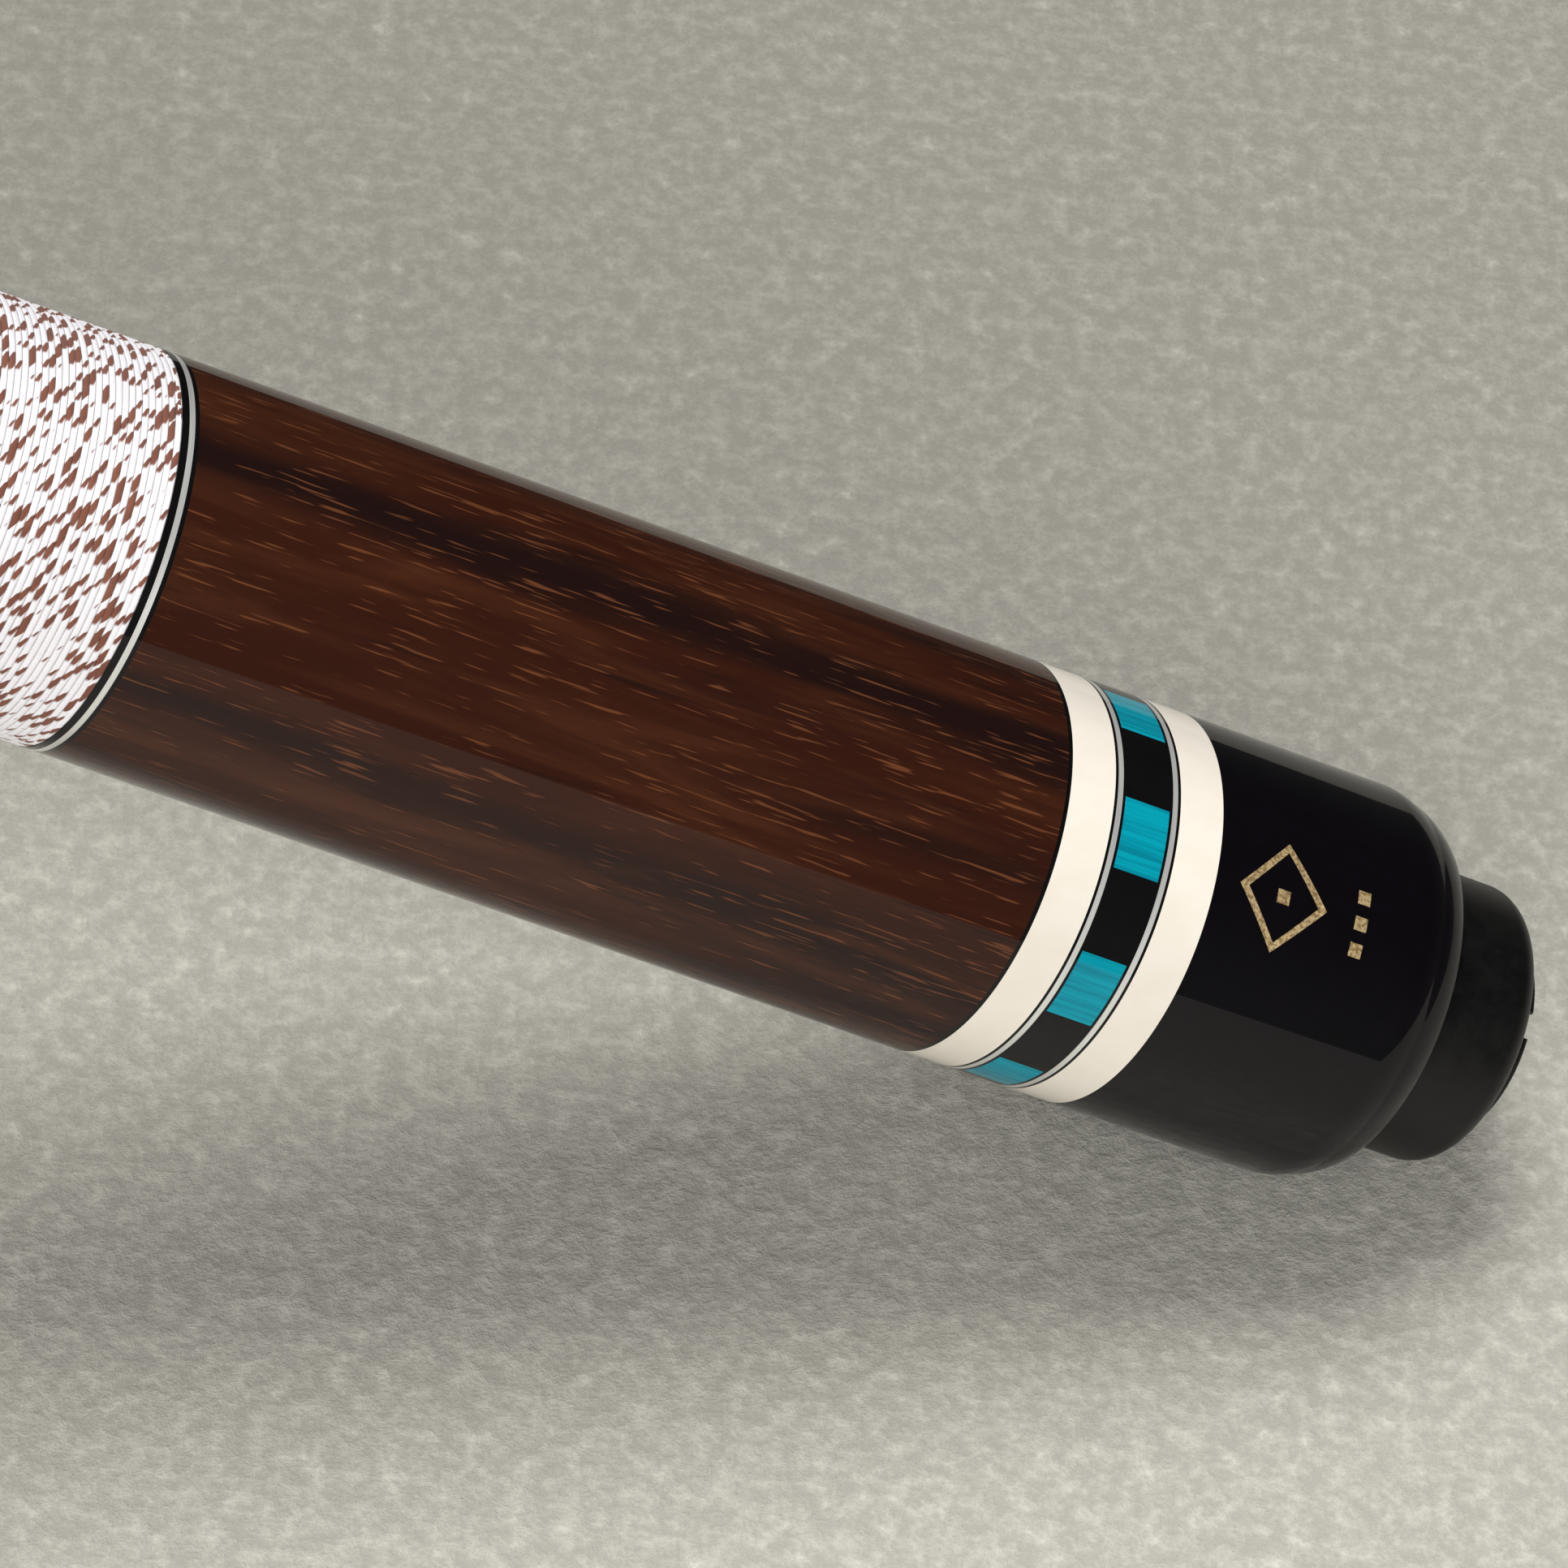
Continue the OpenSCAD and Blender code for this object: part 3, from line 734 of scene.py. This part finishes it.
# %% Bushes
for node_name, finish in {"bumper_washer": steel, "brass_insert": brass,
                          "weight_lock_ring": nylon, "shaft_insert": insert_phenolic}.items():
    rear, front = stations(node_name)
    bore, outer = radii(node_name)
    bush = turned(node_name + "_turned",
                  [(rear, bore), (rear, outer), (front, outer), (front, bore)], finish)
    place(bush, body_of_node[node_name], node_name)
frame["nodes"]["handle_core"].data.materials.clear()
frame["nodes"]["handle_core"].data.materials.append(core_maple)
print("bushes turned, handle core in maple")

# %% [markdown]
# ## Shaft, ferrule and tip
# The shaft grows slowly from its straight end toward the joint: a pro taper. The
# ferrule, fibre pad and leather tip continue its straight end, and the tip is sanded
# to a dome. The pieces share one radius, so they are turned as one line of rings.

# %% Shaft, ferrule, pad and tip
shaft_rear = stations("shaft_collar")[0]
wood_rear = stations("shaft_collar")[1]
ferrule_rear, ferrule_front = stations("ferrule")
pad_rear, pad_front = stations("tip_pad")
tip_rear, tip_front = stations("leather_tip")
tip_r = radii("ferrule")[1]
straight_l, taper_power = 200 * mm, 1.3
straight_s = ferrule_rear - straight_l
insert_r, insert_end = radii("shaft_insert")[1], stations("shaft_insert")[1]
dowel_r, dowel_end = 4 * mm, stations("shaft")[1]
taper_count = 60


def shaft_r(station):
    share = max((straight_s - station) / (straight_s - wood_rear), 0)
    return tip_r + (butt_r(wood_rear) - tip_r) * share ** taper_power


taper = [wood_rear + (straight_s - wood_rear) * i / taper_count
         for i in range(taper_count + 1)]
shaft = turned("shaft_turned", [
    (insert_end, 0), (insert_end, insert_r), (shaft_rear, insert_r), (shaft_rear, tenon_r),
    (wood_rear, tenon_r), *[(s, shaft_r(s)) for s in taper], (ferrule_rear, tip_r),
    (ferrule_rear, dowel_r), (dowel_end, dowel_r), (dowel_end, 0),
], shaft_maple)
place(shaft, "shaft", "shaft")
ferrule = turned("ferrule_turned", [
    (ferrule_rear, dowel_r), (ferrule_rear, tip_r), (ferrule_front, tip_r),
    (ferrule_front, 0), (dowel_end, 0), (dowel_end, dowel_r)], ferrule_resin)
place(ferrule, "shaft", "ferrule")
pad = turned("tip_pad_turned", [(pad_rear, 0), (pad_rear, tip_r), (pad_front, tip_r),
                                (pad_front, 0)], fibre)
place(pad, "shaft", "tip_pad")
dome_r, dome_count = 10.6 * mm, 16
dome_centre = tip_front - dome_r
dome_from = math.asin(tip_r / dome_r)
dome = [(dome_centre + dome_r * math.cos(dome_from * (1 - i / dome_count)),
         dome_r * math.sin(dome_from * (1 - i / dome_count))) for i in range(dome_count)]
tip = turned("leather_tip_turned", [(tip_rear, 0), (tip_rear, tip_r), *dome,
                                    (tip_front, 0)], leather)
place(tip, "shaft", "leather_tip")
print(f"shaft: {shaft_r(wood_rear) / mm:.2f} mm radius falling to {tip_r / mm:.2f} mm")

# %% [markdown]
# ## Linen wrap
# Irish linen is one thread wound tight round the handle and then pressed smooth. It is
# sold printed with short rust-brown specks, which land beside each other differently on
# each turn and make the scattered diagonal pattern. So the wrap is really wound: a tree
# of Geometry Nodes bends a line into a helix, sweeps a flattened thread along it, and
# keeps two attributes for the material, the turns wound so far and the place across the
# thread. It is wound as three pieces, to keep each one light.

# %% The winding tree
press_power = 0.13      # the smaller, the flatter the thread's outside


def winding_tree():
    tree = bpy.data.node_groups.new("wound_thread", "GeometryNodeTree")
    face = tree.interface
    face.new_socket("Geometry", in_out="INPUT", socket_type="NodeSocketGeometry")
    for name in ("Turns", "Length", "Rear Radius", "Front Radius", "Station",
                 "Thread Width", "Thread Thickness"):
        face.new_socket(name, in_out="INPUT", socket_type="NodeSocketFloat")
    face.new_socket("Points", in_out="INPUT", socket_type="NodeSocketInt")
    face.new_socket("Material", in_out="INPUT", socket_type="NodeSocketMaterial")
    face.new_socket("Geometry", in_out="OUTPUT", socket_type="NodeSocketGeometry")
    given = tree.nodes.new("NodeGroupInput").outputs
    link = tree.links.new

    def add(kind, **sockets):
        made = tree.nodes.new("GeometryNode" + kind)
        for name, value in sockets.items():
            socket = made.inputs[name.replace("_", " ")]
            if isinstance(value, bpy.types.NodeSocket):
                link(value, socket)
            else:
                socket.default_value = value
        return made

    def math_node(operation, first, second=0.0):
        return calc(tree, operation, first, second)

    def vector(x, y, z):
        made = tree.nodes.new("ShaderNodeCombineXYZ")
        for value, socket in zip((x, y, z), made.inputs):
            if isinstance(value, float):
                socket.default_value = value
            else:
                link(value, socket)
        return made.outputs[0]

    # The path: a line of points bent into a helix about Z. Its first and last turns
    # lie flat against their rings.
    line = add("CurvePrimitiveLine").outputs["Curve"]
    points = add("ResampleCurve", Curve=line, Count=given["Points"]).outputs["Curve"]
    share = add("SplineParameter").outputs["Factor"]
    turns = math_node("MULTIPLY", share, given["Turns"])
    angle = math_node("MULTIPLY", turns, math.tau)
    inner_turns = math_node("SUBTRACT", given["Turns"], 2.0)
    rise = math_node("DIVIDE", math_node("SUBTRACT", turns, 1.0), inner_turns)
    climb = math_node("MINIMUM", math_node("MAXIMUM", rise, 0.0), 1.0)
    height = math_node("MULTIPLY", climb, given["Length"])
    widening = math_node("SUBTRACT", given["Front Radius"], given["Rear Radius"])
    radius = math_node("ADD", given["Rear Radius"],
                       math_node("MULTIPLY", climb, widening))
    helix = vector(math_node("MULTIPLY", radius, math_node("COSINE", angle)),
                   math_node("MULTIPLY", radius, math_node("SINE", angle)), height)
    path = add("SetPosition", Geometry=points, Position=helix).outputs["Geometry"]
    upright = add("SetCurveNormal", Curve=path)
    upright.mode = "Z_UP"
    point = add("InputIndex").outputs[0]
    share = math_node("DIVIDE", point, math_node("SUBTRACT", given["Points"], 1.0))
    path = add("StoreNamedAttribute", Geometry=upright.outputs["Curve"],
               Name="thread_turn", Value=math_node("MULTIPLY", share, given["Turns"])
               ).outputs["Geometry"]

    # The section: six points of a circle, flattened so that the thread's outside is
    # pressed smooth and only shallow grooves stay between turns.
    ring = add("CurvePrimitiveCircle", Resolution=6, Radius=1.0).outputs["Curve"]
    split = tree.nodes.new("ShaderNodeSeparateXYZ")
    link(add("InputPosition").outputs[0], split.inputs[0])
    half = math_node("DIVIDE", given["Thread Width"], 2.0)
    across = math_node("MULTIPLY", split.outputs["X"], half)
    lifted = math_node("DIVIDE", math_node("ADD", split.outputs["Y"], 1.0), 2.0)
    pressed = math_node("POWER", lifted, press_power)
    up = math_node("MULTIPLY", math_node("SUBTRACT", pressed, 1.0),
                   given["Thread Thickness"])
    section = add("StoreNamedAttribute", Geometry=ring, Name="thread_across",
                  Value=split.outputs["X"]).outputs["Geometry"]
    section = add("SetPosition", Geometry=section,
                  Position=vector(up, across, 0.0)).outputs["Geometry"]

    thread = add("CurveToMesh", Curve=path, Profile_Curve=section, Fill_Caps=True)
    laid = add("Transform", Geometry=thread.outputs["Mesh"],
               Rotation=(0, -math.pi / 2, 0),
               Translation=vector(math_node("MULTIPLY", given["Station"], -1.0),
                                  0.0, 0.0))
    solid = add("RealizeInstances", Geometry=laid.outputs["Geometry"])
    dyed = add("SetMaterial", Geometry=solid.outputs["Geometry"],
               Material=given["Material"])
    link(dyed.outputs["Geometry"], tree.nodes.new("NodeGroupOutput").inputs[0])
    return tree


print("winding tree ready")


# %% [markdown]
# ## Linen thread
# The thread is white with a lilac cast. Specks follow one another along it about every
# two and a half millimetres, between thirty-nine and forty to a turn, so that they land in
# slanting runs. Neither their spacing nor their length is regular: they are the cells of
# a one-dimensional Voronoi pattern, and a noise read at each cell's mark sets how far the
# speck reaches. Where that noise is low there is no speck. Each one leans with the twist
# and narrows to a point at one end.

# %% Linen thread
speck_lean, specks_per_turn, spacing_spread = -0.16, 39.42, 0.55
reach_gain, reach_cut = 1.15, 0.405
edge_narrowing, end_narrowing = 0.10, 0.30
twists_per_turn, fibres_across = 85.0, 3.0


def linen_thread():
    material, tree, shader = new_material("linen_thread", Roughness=0.75,
                                          Specular_IOR_Level=0.25, Sheen_Weight=0.15)
    turn = node(tree, "ShaderNodeAttribute")
    turn.attribute_name = "thread_turn"
    across = node(tree, "ShaderNodeAttribute")
    across.attribute_name = "thread_across"
    mark = node(tree, "ShaderNodeTexVoronoi", Scale=1.0, Randomness=spacing_spread)
    mark.voronoi_dimensions = "1D"
    lean = calc(tree, "MULTIPLY", across.outputs["Fac"], speck_lean)
    along = calc(tree, "ADD", lean, calc(tree, "MULTIPLY", turn.outputs["Fac"],
                                         specks_per_turn))
    tree.links.new(along, mark.inputs["W"])
    size = node(tree, "ShaderNodeTexNoise", Scale=1.7, Detail=1.0)
    size.noise_dimensions = "1D"
    tree.links.new(mark.outputs["W"], size.inputs["W"])
    side = calc(tree, "SUBTRACT", along, mark.outputs["W"])
    reach = calc(tree, "ADD", calc(tree, "MULTIPLY", size.outputs["Fac"], reach_gain),
                 -reach_cut)
    width = calc(tree, "MULTIPLY", calc(tree, "ABSOLUTE", across.outputs["Fac"], 0.0),
                 edge_narrowing)
    point = calc(tree, "MULTIPLY", side, end_narrowing)
    edge = calc(tree, "SUBTRACT", calc(tree, "SUBTRACT", reach, width), point)
    inside = calc(tree, "SUBTRACT", edge, mark.outputs["Distance"])
    dyed = steps(tree, inside, -0.03, 0.06)
    tone = noise(tree, stretched(tree, 700, 500, 4), 2, 0.6)
    white = mixed(tree, tone, (0.88, 0.845, 0.875), (0.94, 0.92, 0.94))
    rust = mixed(tree, tone, (0.120, 0.042, 0.030), (0.300, 0.105, 0.058))
    tree.links.new(mixed(tree, dyed, white, rust), shader.inputs["Base Color"])
    twist = node(tree, "ShaderNodeCombineXYZ")
    tree.links.new(calc(tree, "MULTIPLY", turn.outputs["Fac"], twists_per_turn),
                   twist.inputs["X"])
    tree.links.new(calc(tree, "MULTIPLY", across.outputs["Fac"], fibres_across),
                   twist.inputs["Y"])
    fibres = noise(tree, twist.outputs[0], 2, 0.6)
    bumped(tree, shader, fibres, 0.05 * mm, 0.6)
    return material


linen = linen_thread()
print("linen thread ready")

# %% [markdown]
# ## Wind the three parts
# The tree is used three times, each with its own stations and radii. A modifier input is
# set by the socket's identifier. The evaluated result becomes a plain mesh, and the
# modifier goes.

# %% Wind the wrap
winding = winding_tree()
wrap_rear, wrap_front = stations("linen_wrap")
wrap_t = 0.7 * mm
thread_w = 0.52 * mm
points_per_turn = 60
wrap_parts = ("rear", "middle", "front")


def wind(name, rear, front):
    turns = round((front - rear) / thread_w) + 1
    holder = bpy.data.objects.new(name, bpy.data.meshes.new(name))
    bpy.context.scene.collection.objects.link(holder)
    modifier = holder.modifiers.new("winding", "NODES")
    modifier.node_group = winding
    sockets = {s.name: s.identifier for s in winding.interface.items_tree
               if s.in_out == "INPUT"}
    values = {"Turns": float(turns), "Length": front - rear - thread_w,
              "Rear Radius": butt_r(rear), "Front Radius": butt_r(front),
              "Station": rear + thread_w / 2, "Thread Width": thread_w,
              "Thread Thickness": wrap_t, "Points": turns * points_per_turn,
              "Material": linen}
    for socket, value in values.items():
        modifier[sockets[socket]] = value
    graph = bpy.context.evaluated_depsgraph_get()
    mesh = bpy.data.meshes.new_from_object(holder.evaluated_get(graph))
    holder.modifiers.clear()
    holder.data = mesh
    mesh.shade_smooth()
    return holder


part_l = (wrap_front - wrap_rear) / len(wrap_parts)
for i, part in enumerate(wrap_parts):
    rear = wrap_rear + i * part_l
    wound = place(wind("linen_wrap_" + part, rear, rear + part_l), "butt", "linen_wrap")
    reach = max(math.hypot(v.co.y, v.co.z) for v in wound.data.vertices)
    print(part, len(wound.data.polygons), "faces, reach", round(reach / mm, 2), "mm")

# %% [markdown]
# ## Gold mark
# A small plain lozenge with a row of square dots is laid in gold leaf on the cap. Each
# bar of the lozenge is a thin strip wrapped onto the cap, so its points are given as a
# distance along the cue and a distance round it.

# %% Gold mark
mark_angle = math.radians(115.7)
mark_s, mark_half_l, mark_half_w = 26.8 * mm, 3.9 * mm, 4.4 * mm
stroke = 0.55 * mm
dot_s, dot_pitch, dot_half = 19.8 * mm, 2.1 * mm, 0.55 * mm
leaf_proud, leaf_depth = 0.012 * mm, 0.05 * mm


def on_cap(along, round_, lift):
    radius = butt_r(along) + lift
    return on_cue(along, radius, mark_angle + round_ / butt_r(along))


def leaf_strip(work, first, second):
    """A closed strip between two lines of (along, round) points."""
    rows = [[work.verts.new(on_cap(a, b, lift)) for a, b in line]
            for line, lift in ((first, leaf_proud), (second, leaf_proud),
                               (second, -leaf_depth), (first, -leaf_depth))]
    for row, after in zip(rows, rows[1:] + rows[:1]):
        for i in range(len(row) - 1):
            work.faces.new((row[i], row[i + 1], after[i + 1], after[i]))
    for end in (0, -1):
        work.faces.new([row[end] for row in rows])


def divided(start, stop, count=8):
    return [(start[0] + (stop[0] - start[0]) * i / count,
             start[1] + (stop[1] - start[1]) * i / count) for i in range(count + 1)]


def lozenge(scale_l, scale_w):
    return [(mark_s + scale_l, 0), (mark_s, scale_w), (mark_s - scale_l, 0),
            (mark_s, -scale_w)]


work = bmesh.new()
outer, inner = (lozenge(mark_half_l - inset, mark_half_w - inset)
                for inset in (0, stroke * math.sqrt(2)))
for i in range(4):
    j = (i + 1) % 4
    leaf_strip(work, divided(outer[i], outer[j]), divided(inner[i], inner[j]))
for along, middle in [(mark_s, 0)] + [(dot_s, i * dot_pitch) for i in (-1, 0, 1)]:
    leaf_strip(work, divided((along - dot_half, middle - dot_half),
                             (along - dot_half, middle + dot_half), 3),
               divided((along + dot_half, middle - dot_half),
                       (along + dot_half, middle + dot_half), 3))
gold_mark = finish_mesh("gold_mark", work, gold_leaf)
place(gold_mark, "butt")
print("gold mark:", len(gold_mark.data.polygons), "faces")

# %% [markdown]
# ## Floor and light
# The cue's front is propped up, so the floor is tilted to it: it touches the cap's lip
# and falls away below the wrap. Its felt carries painted light: its colour is paler on
# the camera's side, standing in for light that falls there more strongly, and darker
# beyond the cue. It is clear from below. One soft light stands above and beyond the cue,
# toward its tip, and a broader one of about the same strength on the camera's side. Gloss
# needs something to mirror, and a dark studio gives it: the world looks pale to the camera
# but dark to reflections, so the lacquer shows the floor below and stays deep above.

# %% Floor
floor_tilt = math.radians(23)
floor_normal = Vector((-math.sin(floor_tilt), 0, math.cos(floor_tilt)))
cap_points = [Vector((-s, 0, -r)) for s, r in
              arc(lip_centre_s, lip_centre_r, lip_r, lip_from, lip_to)]
floor_level = min(p.dot(floor_normal) for p in cap_points)
floor_half = Vector((3.0, 2.2, 1))
floor_middle = Vector((0.2, -2.0, 0))
painted_light_blend = 0.10       # half the width of the change from far to near felt
floor_work = bmesh.new()
bmesh.ops.create_circle(floor_work, cap_ends=True, segments=96, radius=1)
for corner in floor_work.verts:
    corner.co = corner.co * floor_half + floor_middle
floor_mesh = bpy.data.meshes.new("floor")
floor_work.to_mesh(floor_mesh)
floor_work.free()
floor = bpy.data.objects.new("floor", floor_mesh)
floor.rotation_euler = (0, -floor_tilt, 0)
floor.location = floor_normal * floor_level
bpy.context.scene.collection.objects.link(floor)

floor_material, tree, shader = new_material("floor_felt", Roughness=0.95,
                                            Specular_IOR_Level=0.1)
mottle = steps(tree, noise(tree, stretched(tree, 520, 520), 6, 0.75), 0.33, 0.67)
away = node(tree, "ShaderNodeSeparateXYZ")
tree.links.new(node(tree, "ShaderNodeTexCoord").outputs["Object"], away.inputs[0])
# Painted light: the felt is painted paler on the camera's side and darker beyond the cue, standing in for light
# that falls off across the floor.
painted_shade_far_felt = mixed(tree, mottle, (0.285, 0.275, 0.238), (0.390, 0.376, 0.327))
painted_light_near_felt = mixed(tree, mottle, (0.480, 0.463, 0.405), (0.680, 0.656, 0.580))
painted_shade_share = steps(tree, away.outputs["Y"], -painted_light_blend, painted_light_blend)
tree.links.new(mixed(tree, painted_shade_share, painted_light_near_felt, painted_shade_far_felt), shader.inputs["Base Color"])
bumped(tree, shader, mottle, 0.7 * mm, 0.5)
below = node(tree, "ShaderNodeNewGeometry")
clear = node(tree, "ShaderNodeBsdfTransparent")
either = node(tree, "ShaderNodeMixShader")
tree.links.new(below.outputs["Backfacing"], either.inputs[0])
tree.links.new(shader.outputs[0], either.inputs[1])
tree.links.new(clear.outputs[0], either.inputs[2])
tree.links.new(either.outputs[0], tree.nodes["Material Output"].inputs["Surface"])
floor_mesh.materials.append(floor_material)
print(f"floor tilted {math.degrees(floor_tilt):.0f} degrees")


# %% Lights and world
def sun(name, toward, strength, spread):
    light = bpy.data.lights.new(name, "SUN")
    light.energy, light.angle = strength, math.radians(spread)
    lamp = bpy.data.objects.new(name, light)
    lamp.rotation_mode = "QUATERNION"
    lamp.rotation_quaternion = Vector(toward).to_track_quat("Z", "Y")
    bpy.context.scene.collection.objects.link(lamp)


sun("overhead_softbox", (-0.45, 0.40, 0.80), 2.5, 30)
sun("front_softbox", (-0.35, -0.80, 0.48), 2.3, 50)

world = bpy.data.worlds.new("studio")
bpy.context.scene.world = world
world.use_nodes = True
sky = world.node_tree
ray = node(sky, "ShaderNodeLightPath")
dim = node(sky, "ShaderNodeBackground", Color=(1.0, 1.0, 1.0, 1), Strength=0.20)
dark = node(sky, "ShaderNodeBackground", Color=(0.5, 0.5, 0.55, 1), Strength=0.006)
pale = node(sky, "ShaderNodeBackground", Color=(0.62, 0.61, 0.58, 1), Strength=1.0)
mirror = node(sky, "ShaderNodeMixShader")
seen = node(sky, "ShaderNodeMixShader")
sky.links.new(ray.outputs["Is Glossy Ray"], mirror.inputs[0])
sky.links.new(dim.outputs[0], mirror.inputs[1])
sky.links.new(dark.outputs[0], mirror.inputs[2])
sky.links.new(ray.outputs["Is Camera Ray"], seen.inputs[0])
sky.links.new(mirror.outputs[0], seen.inputs[1])
sky.links.new(pale.outputs[0], seen.inputs[2])
sky.links.new(seen.outputs[0], sky.nodes["World Output"].inputs["Surface"])
print("lights and world ready")

# %% Finish
print("scene ready")
